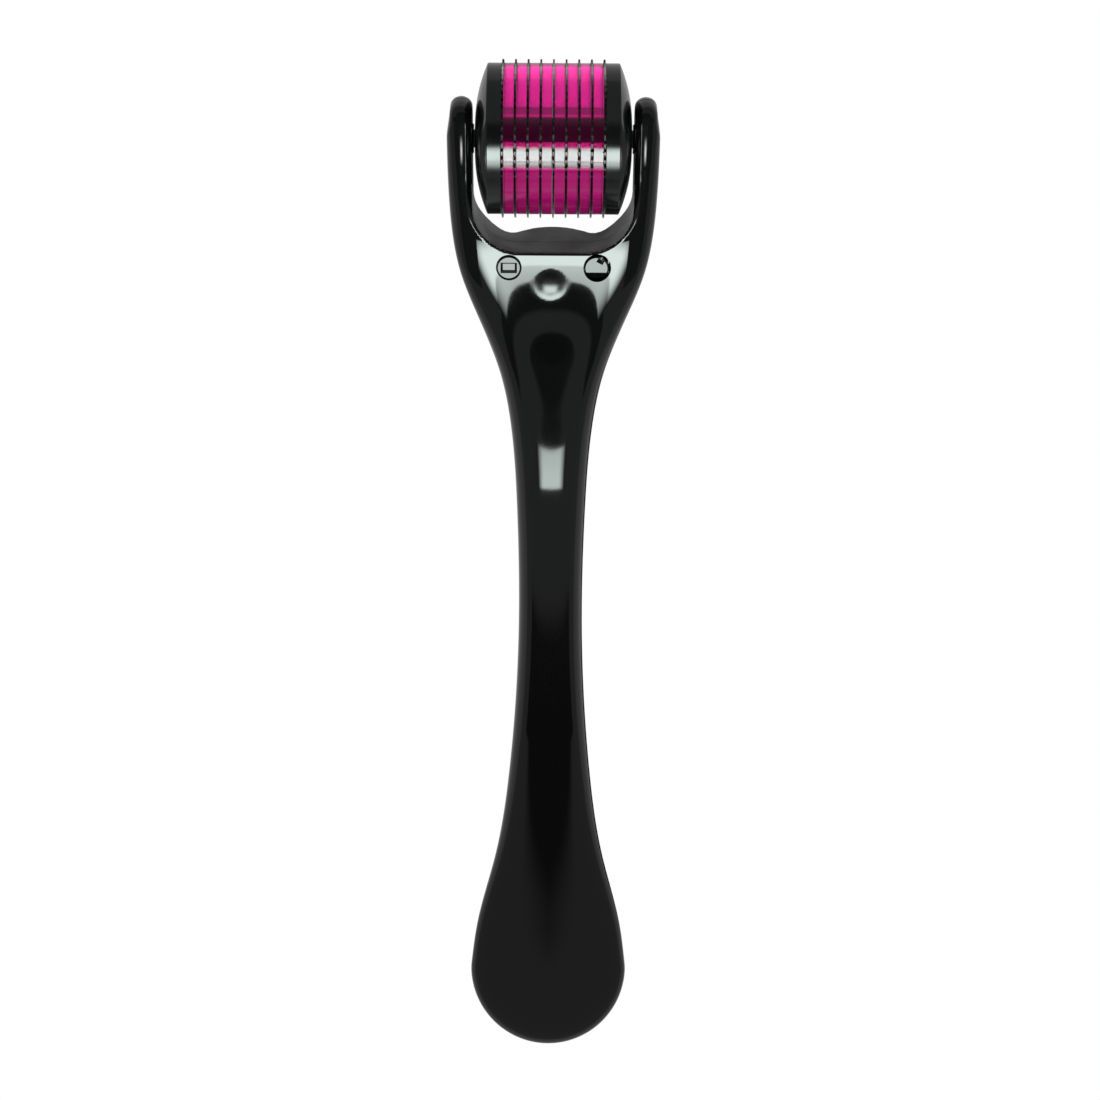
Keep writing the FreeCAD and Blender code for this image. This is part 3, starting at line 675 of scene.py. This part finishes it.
class Finish:
    """One material: a Principled shader with nodes that vary over the piece."""

    def __init__(self, name, **settings):
        self.material = bpy.data.materials.new(name)
        self.material.use_nodes = True
        self.tree = self.material.node_tree
        self.shader = next(n for n in self.tree.nodes if n.type == "BSDF_PRINCIPLED")
        for socket, value in settings.items():
            self.shader.inputs[socket.replace("_", " ")].default_value = value
        self.coordinates = self.add("ShaderNodeTexCoord").outputs["Object"]

    def add(self, kind, settings=None, **inputs):
        node = self.tree.nodes.new(kind)
        for key, value in (settings or {}).items():
            setattr(node, key, value)
        for socket, value in inputs.items():
            self.feed(node.inputs[socket.replace("_", " ")], value)
        return node

    def feed(self, socket, value):
        if isinstance(value, bpy.types.NodeSocket):
            self.tree.links.new(value, socket)
        else:
            socket.default_value = value

    def noise(self, size_mm, detail=3.0, roughness=0.5, stretch=(1, 1, 1)):
        """Noise whose features are about this size."""
        mapping = self.add("ShaderNodeMapping", Vector=self.coordinates, Scale=stretch)
        noise = self.add(
            "ShaderNodeTexNoise", Vector=mapping.outputs[0], Scale=1 / (size_mm * MM),
            Detail=detail, Roughness=roughness
        )
        return noise.outputs["Fac"]

    def scratches(self, size_mm, thickness):
        """Thin crossing lines, 1 on a line and 0 off it."""
        bend = self.noise(size_mm * 2, 2.0)
        shift = self.add("ShaderNodeVectorMath", {"operation": "MULTIPLY_ADD"})
        self.feed(shift.inputs[0], bend)
        self.feed(shift.inputs[1], (size_mm * MM,) * 3)
        self.feed(shift.inputs[2], self.coordinates)
        cells = self.add(
            "ShaderNodeTexVoronoi", {"feature": "DISTANCE_TO_EDGE"},
            Vector=shift.outputs[0], Scale=1 / (size_mm * MM)
        )
        return self.ramp(cells.outputs["Distance"], 0.0, thickness, 1.0, 0.0)

    def ramp(self, value, low, high, to_low, to_high):
        node = self.add("ShaderNodeMapRange", {"clamp": True}, Value=value)
        for socket, number in zip(node.inputs[1:5], (low, high, to_low, to_high)):
            socket.default_value = number
        return node.outputs[0]

    def mix(self, factor, first, second):
        """A blend of two colours."""
        node = self.add("ShaderNodeMix", {"data_type": "RGBA"})
        self.feed(node.inputs[0], factor)
        self.feed(node.inputs[6], first)
        self.feed(node.inputs[7], second)
        return node.outputs[2]

    def maths(self, operation, first, second):
        node = self.add("ShaderNodeMath", {"operation": operation})
        self.feed(node.inputs[0], first)
        self.feed(node.inputs[1], second)
        return node.outputs[0]

    def bump(self, height, depth_mm):
        node = self.add("ShaderNodeBump", Height=height, Distance=depth_mm * MM, Strength=1.0)
        return node.outputs[0]

    def use(self, **inputs):
        for socket, value in inputs.items():
            self.feed(self.shader.inputs[socket.replace("_", " ")], value)


def paint(piece, finish):
    piece.data.materials.clear()
    piece.data.materials.append(finish.material)


def paint_gap_wall(shell, finish):
    """The wall of the U is less polished than the rest, and its colour is painted lighter grey: a
    painted sheen for the light it catches.
    """
    shell.data.materials.append(finish.material)
    centres = np.array([face.center for face in shell.data.polygons]) / MM
    reach = (centres - AXLE) @ FORK_UP
    gap = round_box(centres[:, 0], reach - LENGTH + GAP_DEPTH, GAP_HALF_WIDTH, LENGTH, GAP_CORNER)
    on_wall = (np.abs(gap) < GAP_WALL_BAND).astype(int)
    shell.data.polygons.foreach_set("material_index", on_wall)


def black_plastic(name, roughness, colour, waviness):
    """Moulded glossy black plastic: faint waviness, fine scratches, uneven polish."""
    finish = Finish(name, Base_Color=(*colour, 1), IOR=1.5)
    patches = finish.noise(9, 4.0, 0.6)
    lines = finish.scratches(1.7, 0.006)
    polish = finish.ramp(patches, 0.35, 0.7, roughness * 0.7, roughness * 1.5)
    scuffed = finish.maths("MULTIPLY_ADD", lines, 0.02)
    finish.feed(scuffed.node.inputs[2], polish)
    darker = tuple(part * 0.6 for part in colour)
    lighter = tuple(part * 1.5 for part in colour)
    tint = finish.mix(patches, (*darker, 1), (*lighter, 1))
    waves = finish.bump(finish.noise(3.5, 1.0), waviness)
    finish.use(Base_Color=tint, Roughness=scuffed, Normal=waves)
    return finish


def soften_bump(finish):
    """Make the yoke's bump satin, fading out round its foot, so that its highlight is soft."""
    reach = finish.add("ShaderNodeVectorMath", {"operation": "DISTANCE"})
    finish.feed(reach.inputs[0], finish.coordinates)
    finish.feed(reach.inputs[1], tuple(BUMP_CENTRE * MM))
    satin = finish.ramp(
        reach.outputs["Value"], BUMP_RADIUS * MM, (BUMP_RADIUS + BUMP_SATIN_FADE) * MM,
        BUMP_SATIN, 0.0
    )
    polish = finish.shader.inputs["Roughness"].links[0].from_socket
    finish.use(Roughness=finish.maths("ADD", polish, satin))


def ring_plastic():
    """Clear magenta plastic with faint moulding swirls and smudges."""
    finish = Finish(
        "ring_plastic", IOR=1.5, Transmission_Weight=0.97, Base_Color=(0.55, 0.008, 0.19, 1)
    )
    swirls = finish.noise(1.6, 3.0, 0.55, (0.4, 1, 1))
    tint = finish.mix(swirls, (0.43, 0.004, 0.14, 1), (0.6, 0.01, 0.23, 1))
    polish = finish.ramp(swirls, 0.3, 0.7, 0.04, 0.1)
    finish.use(Base_Color=tint, Roughness=polish, Normal=finish.bump(swirls, 0.01))
    return finish


def steel(name, colour, roughness):
    """Stamped stainless steel with a fine grain and slight discolouring."""
    finish = Finish(name, Metallic=1.0, Base_Color=(*colour, 1))
    grain = finish.noise(0.12, 2.0, 0.6, (1, 1, 0.15))
    stains = finish.noise(1.5, 4.0, 0.6)
    darker = tuple(part * 0.55 for part in colour)
    tint = finish.mix(stains, (*colour, 1), (*darker, 1))
    polish = finish.ramp(grain, 0.3, 0.7, roughness * 0.7, roughness * 1.4)
    finish.use(Base_Color=tint, Roughness=polish, Normal=finish.bump(grain, 0.003))
    return finish


# ---- studio --------------------------------------------------------------------------------

SOFTBOX_POWER = 19.0
SOFTBOX_COLOUR = (0.88, 1.0, 0.955, 1)
SURROUND = 0.3
FLAG_LEVEL = 0.07
FLOOR_BELOW = 0.05
FLOOR_REFLECTED = 0.5
SHADOW_FADE = 14.0
# Stand-ins for the roller's shadow: where each starts and ends past the axle, and its level.
ROLLER_SHADOWS = (("shadow_under", 4, 90, 0.48), ("shadow_near", 0.8, 4, 0.7))
ROLLER_SHADOW_HALF_WIDTH = 25
HANDLE_SHADOW_LEVEL = 0.02
CAMERA_PLACE = (-0.11, 1.24, 385)
CAMERA_ROLL = 0.37
CAMERA_LENS = 87.2
# Cards in metres: their sizes, and their middles' y and z. The dark part of the low one is a
# wedge, whose sides have this slope and fade between these two distances.
ROLLER_FLAG_SIZE = (0.12, 0.047)
ROLLER_FLAG_PLACE = (0.0625, 0.085)
LOW_FLAG_SIZE = (0.3, 0.155)
LOW_FLAG_PLACE = (-0.1135, 0.048)
LOW_FLAG_SLOPE = 2.2
LOW_FLAG_FADE = (-0.126, -0.104)
# The small cards just above the arms, in the fork's own frame and in millimetres: how far out
# of the fork they lie, and where each one starts and ends along and across it.
ARM_FLAG_HEIGHT = 7.8
ARM_FLAG = (-15.0, 7.0, 10.2, 18.0)
ROOT_FLAG = (-21.0, -15.0, 11.9, 18.0)
GLINT_CENTRE = (13.3, -0.9)
GLINT_HALF_SIZE = (1.2, 2.3)
GLINT_LEVEL = 16.0
ARM_LEVEL = 0.1


class Glow:
    """An emission material whose strength is a sum and product of simple nodes."""

    def __init__(self, name, strength):
        self.material = bpy.data.materials.new(name)
        self.material.use_nodes = True
        self.tree = self.material.node_tree
        self.tree.nodes.clear()
        self.light = self.tree.nodes.new("ShaderNodeEmission")
        self.light.inputs["Strength"].default_value = strength
        end = self.tree.nodes.new("ShaderNodeOutputMaterial")
        self.tree.links.new(self.light.outputs[0], end.inputs[0])

    def place(self):
        """The object's own X and Y; on a card both run from -0.5 to 0.5."""
        source = self.tree.nodes.new("ShaderNodeTexCoord")
        split = self.tree.nodes.new("ShaderNodeSeparateXYZ")
        self.tree.links.new(source.outputs["Object"], split.inputs[0])
        return split.outputs["X"], split.outputs["Y"]

    def maths(self, operation, first, second=0.0):
        node = self.tree.nodes.new("ShaderNodeMath")
        node.operation = operation
        for socket, value in zip(node.inputs, (first, second)):
            if isinstance(value, bpy.types.NodeSocket):
                self.tree.links.new(value, socket)
            else:
                socket.default_value = value
        return node.outputs[0]

    def fade(self, value, low, high, to_low, to_high):
        node = self.tree.nodes.new("ShaderNodeMapRange")
        node.interpolation_type = "SMOOTHSTEP"
        for socket, number in zip(node.inputs[1:5], (low, high, to_low, to_high)):
            socket.default_value = number
        self.tree.links.new(value, node.inputs[0])
        return node.outputs[0]

    def use(self, strength):
        self.tree.links.new(strength, self.light.inputs["Strength"])
        return self.material


def card(name, centre, size, aim, material):
    """A flat rectangle that faces a point, hidden from the camera itself."""
    mesh = bmesh.new()
    bmesh.ops.create_grid(mesh, x_segments=1, y_segments=1, size=0.5)
    data = bpy.data.meshes.new(name)
    mesh.to_mesh(data)
    mesh.free()
    made = new_object(name, data)
    look = (Vector(aim) - Vector(centre)).to_track_quat("Z", "Y")
    made.matrix_world = (
        Matrix.Translation(centre) @ look.to_matrix().to_4x4() @ Matrix.Diagonal((*size, 1, 1))
    )
    data.materials.append(material)
    made.visible_camera = False
    return made


def far_card(name, near_angle, far_angle, half_spread, distance, aim, material):
    """A card between two angles from straight up towards the butt, all in degrees."""
    middle = math.radians((near_angle + far_angle) / 2)
    half = math.radians((far_angle - near_angle) / 2)
    centre = Vector(aim) + Vector((0, -math.sin(middle), math.cos(middle))) * distance
    width = 2 * distance * math.tan(math.radians(half_spread))
    height = 2 * distance * math.tan(half)
    return card(name, centre, (width, height), aim, material)


def make_softbox(aim):
    """The large soft light beyond the butt, brightest in its middle."""
    glow = Glow("softbox_glow", 1.0)
    x, y = glow.place()
    sides = glow.fade(glow.maths("ABSOLUTE", x), 0.25, 0.5, 1.0, 0.0)
    top = glow.fade(y, 0.24, 0.5, 1.0, 0.0)
    foot = glow.fade(y, -0.42, 0.0, 0.0, 1.0)
    level = glow.maths("MULTIPLY", glow.maths("MULTIPLY", sides, top), foot)
    glow.light.inputs["Color"].default_value = SOFTBOX_COLOUR
    material = glow.use(glow.maths("MULTIPLY", level, SOFTBOX_POWER))
    return far_card("softbox", 18, 61, 27, 2.4, aim, material)


def flag_glow(name, start, end, from_level, to_level):
    """A glow that goes from one level to another along a card's Y."""
    glow = Glow(name, 1.0)
    return glow.use(glow.fade(glow.place()[1], start, end, from_level, to_level))


def make_flags(aim):
    """Dark cards that keep the softbox out of the grip, the neck, the roller and the paddle."""
    material = flag_glow("high_flag_glow", 0.26, 0.5, FLAG_LEVEL, SURROUND)
    far_card("high_flag", 4.0, 20.5, 65, 1.6, aim, material)
    material = flag_glow("neck_flag_glow", -0.5, -0.35, SURROUND, FLAG_LEVEL)
    far_card("neck_flag", -12.5, -5.3, 38, 1.6, aim, material)
    material = flag_glow("roller_flag_glow", 0.05, 0.45, 0.04, SURROUND)
    centre = Vector((0, *ROLLER_FLAG_PLACE))
    card("roller_flag", centre, ROLLER_FLAG_SIZE, centre + Vector((0, 0, -1)), material)
    make_low_flag()


def make_low_flag():
    """The dark card over the paddle, cut to a wedge that narrows towards the butt."""
    glow = Glow("low_flag_glow", 1.0)
    x, y = glow.place()
    reach = glow.maths("MULTIPLY", glow.maths("ABSOLUTE", x), LOW_FLAG_SIZE[0])
    ahead = glow.maths("MULTIPLY", y, LOW_FLAG_SIZE[1])
    beyond = glow.maths("SUBTRACT", reach, glow.maths("MULTIPLY", ahead, LOW_FLAG_SLOPE))
    level = glow.fade(beyond, *LOW_FLAG_FADE, FLAG_LEVEL, SURROUND)
    centre = Vector((0, *LOW_FLAG_PLACE))
    card("low_flag", centre, LOW_FLAG_SIZE, centre + Vector((0, 0, -1)), glow.use(level))


def only_reflected(made):
    """Keep a card out of everything but reflections."""
    made.visible_diffuse = False
    made.visible_transmission = False
    made.visible_shadow = False


def fork_card(name, side, limits, glow):
    """A card level with the fork, seen only in reflections."""
    start, end, inner, outer = limits
    across = side * (inner + outer) / 2
    centre = AXLE + FORK_UP * (start + end) / 2 + FORK_OUT * ARM_FLAG_HEIGHT
    centre = Vector((centre + np.array((across, 0, 0))) * MM)
    size = ((outer - inner) * MM, (end - start) * MM)
    only_reflected(card(name, centre, size, centre - Vector(FORK_OUT), glow.material))


def fork_place(glow, side, limits):
    """How far out across and how far along the fork a place on such a card is."""
    start, end, inner, outer = limits
    x, y = glow.place()
    across = glow.maths("MULTIPLY_ADD", x, side * (inner - outer))
    across.node.inputs[2].default_value = (inner + outer) / 2
    along = glow.maths("MULTIPLY_ADD", y, end - start)
    along.node.inputs[2].default_value = (start + end) / 2
    return across, along


def make_arm_flags():
    """Keep the softbox off the arms, but for a small glint beside the axle on each."""
    for side in (-1, 1):
        glow = Glow(f"arm_flag_{side}_glow", 1.0)
        level = GLINT_LEVEL
        for place, centre, half in zip(
            fork_place(glow, side, ARM_FLAG), GLINT_CENTRE, GLINT_HALF_SIZE
        ):
            off = glow.maths("ABSOLUTE", glow.maths("SUBTRACT", place, centre))
            level = glow.maths("MULTIPLY", glow.fade(off, 0.0, half, 1.0, 0.0), level)
        glow.use(glow.maths("ADD", level, ARM_LEVEL))
        fork_card(f"arm_flag_{side}", side, ARM_FLAG, glow)
        shade = Glow(f"root_flag_{side}_glow", ARM_LEVEL)
        fork_card(f"root_flag_{side}", side, ROOT_FLAG, shade)


def level_card(name, low, high, height, glow):
    """A level card between two (x, y) corners in millimetres, seen only in reflections."""
    low, high = np.array(low), np.array(high)
    centre = Vector((*(low + high) / 2, height)) * MM
    size = tuple((high - low) * MM)
    only_reflected(card(name, centre, size, centre + Vector((0, 0, -1)), glow.material))


def make_yoke_light():
    """Carry the softbox's glow down to the bend of the yoke."""
    glow = Glow("yoke_light_glow", 1.0)
    glow.light.inputs["Color"].default_value = SOFTBOX_COLOUR
    x, y = glow.place()
    sides = glow.fade(glow.maths("ABSOLUTE", x), 0.2, 0.5, 1.0, 0.0)
    glow.use(glow.maths("MULTIPLY", sides, glow.fade(y, -0.5, 0.5, 13.0, 11.0)))
    level_card("yoke_light", (-34, 14.0), (34, 20.7), 60.0, glow)


def make_world():
    """A dim surround for reflections; the camera itself sees plain white."""
    world = bpy.data.worlds.new("studio")
    bpy.context.scene.world = world
    world.use_nodes = True
    tree = world.node_tree
    tree.nodes.clear()
    dim = tree.nodes.new("ShaderNodeBackground")
    dim.inputs["Color"].default_value = (0.97, 1.0, 0.99, 1)
    dim.inputs["Strength"].default_value = SURROUND
    white = tree.nodes.new("ShaderNodeBackground")
    white.inputs["Strength"].default_value = 1.0
    white.inputs["Color"].default_value = (1, 1, 1, 1)
    rays = tree.nodes.new("ShaderNodeLightPath")
    mix = tree.nodes.new("ShaderNodeMixShader")
    end = tree.nodes.new("ShaderNodeOutputWorld")
    tree.links.new(rays.outputs["Is Camera Ray"], mix.inputs[0])
    tree.links.new(dim.outputs[0], mix.inputs[1])
    tree.links.new(white.outputs[0], mix.inputs[2])
    tree.links.new(mix.outputs[0], end.inputs[0])


def flat_piece(name, corners, height, material):
    """A level strip of quads through pairs of (x, y) corners, part of the studio."""
    mesh = bmesh.new()
    pairs = [[mesh.verts.new(Vector((x, y, height)) * MM) for x, y in pair] for pair in corners]
    for (a, b), (c, d) in zip(pairs, pairs[1:]):
        mesh.faces.new((a, b, d, c))
    bmesh.ops.recalc_face_normals(mesh, faces=mesh.faces[:])
    data = bpy.data.meshes.new(name)
    mesh.to_mesh(data)
    mesh.free()
    made = new_object(name, data)
    data.materials.append(material)
    return made


def make_floor():
    """A white floor that the object rests on, dimmer in reflections than to the eye."""
    glow = Glow("floor_glow", 1.0)
    rays = glow.tree.nodes.new("ShaderNodeLightPath")
    seen = glow.maths("ADD", rays.outputs["Is Camera Ray"], rays.outputs["Is Transmission Ray"])
    level = glow.fade(seen, 0.0, 1.0, FLOOR_REFLECTED, 1.0)
    far = 3000
    floor_level = CAD_BOX[0].z / MM - FLOOR_BELOW
    corners = [((-far, -far), (far, -far)), ((-far, far), (far, far))]
    floor = flat_piece("floor", corners, floor_level, glow.use(level))
    floor.visible_diffuse = False


def handle_shadow_glow():
    """Dark, but as bright as the floor at the strip's two ends."""
    glow = Glow("shadow_beside_glow", 1.0)
    along = glow.place()[1]
    start, end = SPINE_Y(0.0), SPINE_Y(PLACES[8])
    butt_end = glow.fade(along, start * MM, (start + SHADOW_FADE) * MM, FLOOR_REFLECTED, 0.0)
    fork_end = glow.fade(along, (end - SHADOW_FADE) * MM, end * MM, 0.0, FLOOR_REFLECTED)
    return glow.use(glow.maths("ADD", glow.maths("ADD", butt_end, fork_end), HANDLE_SHADOW_LEVEL))


def make_shadows():
    """Stand-ins for the object's shadows, seen only in reflections or through the rings."""
    level = CAD_BOX[0].z / MM - FLOOR_BELOW / 2
    strip = []
    for place in np.linspace(0, PLACES[8], 60):
        edge = SHAPE_CURVES[0](place)
        strip.append(((edge - 2.0, SPINE_Y(place)), (edge + 4.5, SPINE_Y(place))))
    beside = flat_piece("shadow_beside", strip, level, handle_shadow_glow())
    beside.visible_transmission = False
    shadows = [beside]
    for name, start, end, brightness in ROLLER_SHADOWS:
        half = ROLLER_SHADOW_HALF_WIDTH
        corners = [((-half, AXLE[1] + reach), (half, AXLE[1] + reach)) for reach in (start, end)]
        shadow = flat_piece(name, corners, level, Glow(name + "_glow", brightness).material)
        shadow.visible_glossy = False
        shadows.append(shadow)
    for shadow in shadows:
        shadow.visible_camera = False
        shadow.visible_diffuse = False


def make_camera():
    """Straight above the object, as far off as the object's perspective asks."""
    data = bpy.data.cameras.new("camera")
    camera = new_object("camera", data)
    camera.location = Vector(CAMERA_PLACE) * MM
    camera.rotation_euler = (0, 0, math.radians(CAMERA_ROLL))
    data.sensor_width = 36
    data.lens = CAMERA_LENS
    data.clip_start = 0.01
    data.clip_end = 10
    bpy.context.scene.camera = camera
    return camera


def make_studio():
    bpy.context.scene.view_settings.view_transform = "Standard"
    aim = Vector((0, AXLE[1] * 0.6, AXLE[2])) * MM
    make_world()
    make_floor()
    make_shadows()
    make_softbox(aim)
    make_flags(aim)
    make_arm_flags()
    make_yoke_light()
    make_camera()


# ---- everything ----------------------------------------------------------------------------


def make_object():
    handle_finish = black_plastic("handle_plastic", 0.05, (0.0012, 0.0012, 0.0013), 0.002)
    soften_bump(handle_finish)
    # Painted light: the U wall is the same black plastic, painted lighter grey as a painted sheen
    # for the light it catches.
    painted_sheen_wall_finish = black_plastic("gap_wall_painted_sheen_plastic", 0.42, (0.06, 0.055, 0.055), 0.002)
    cap_finish = black_plastic("cap_plastic", 0.13, (0.0025, 0.0025, 0.0028), 0.002)
    pin_finish = black_plastic("pin_plastic", 0.1, (0.002, 0.002, 0.0022), 0.002)
    ring_finish = ring_plastic()
    disc_finish = steel("needle_steel", (0.1, 0.09, 0.088), 0.4)
    axle_finish = steel("axle_steel", (0.08, 0.08, 0.08), 0.4)
    for shell in make_shells():
        paint(shell, handle_finish)
        paint_gap_wall(shell, painted_sheen_wall_finish)
    for name, side in (("axle_boss_left", -1), ("axle_boss_right", 1)):
        paint(make_boss(name, side), handle_finish)
    for node in ("end_cap_left", "end_cap_right"):
        paint(make_cap(node), cap_finish)
    for number in range(1, DISC_COUNT):
        paint(make_ring(f"spacer_ring_{number}"), ring_finish)
    for number in range(1, DISC_COUNT + 1):
        paint(frame["nodes"][f"needle_disc_{number}"], disc_finish)
    for node in ("lock_pin_left", "lock_pin_right"):
        paint(frame["nodes"][node], pin_finish)
    paint(frame["nodes"]["axle_pin"], axle_finish)
    paint(frame["nodes"]["core_tube"], cap_finish)


make_object()
make_studio()
